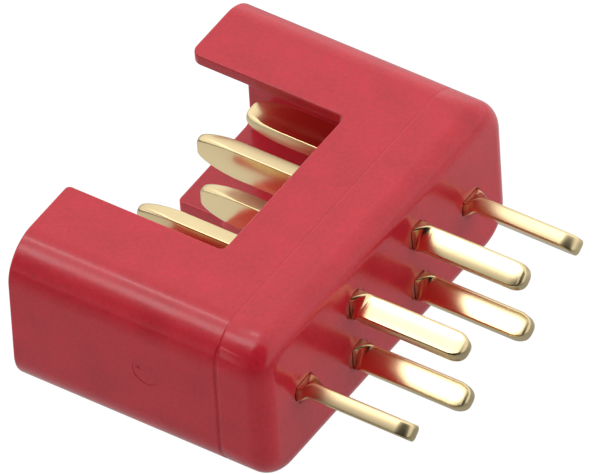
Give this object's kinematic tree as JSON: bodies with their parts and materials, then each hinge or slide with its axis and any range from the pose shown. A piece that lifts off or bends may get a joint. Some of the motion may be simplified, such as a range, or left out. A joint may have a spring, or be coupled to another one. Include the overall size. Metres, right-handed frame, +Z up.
{
  "type": "high-current plug",
  "caption": "Cable plug with a rounded moulded housing open at its mating end, flat plated blades inside and twisted flat solder tails behind.",
  "frame": {"origin": "centre of the flat rear face that the solder tails leave", "axes": "+X out of the rear face along the tails, +Y across the width, +Z up through the broad wall with the wide notch"},
  "size_m": [0.0192, 0.0196, 0.0082],
  "materials": {
    "housing_plastic": "smooth red moulded nylon with a soft gloss",
    "contact_plating": "bright gold plating over stamped copper alloy"
  },
  "bodies": {
    "root": {"housing": "housing_plastic", "contact_outer_left": "contact_plating", "contact_upper_left": "contact_plating", "contact_lower_left": "contact_plating", "contact_upper_right": "contact_plating", "contact_lower_right": "contact_plating", "contact_outer_right": "contact_plating"}
  },
  "joints": []
}
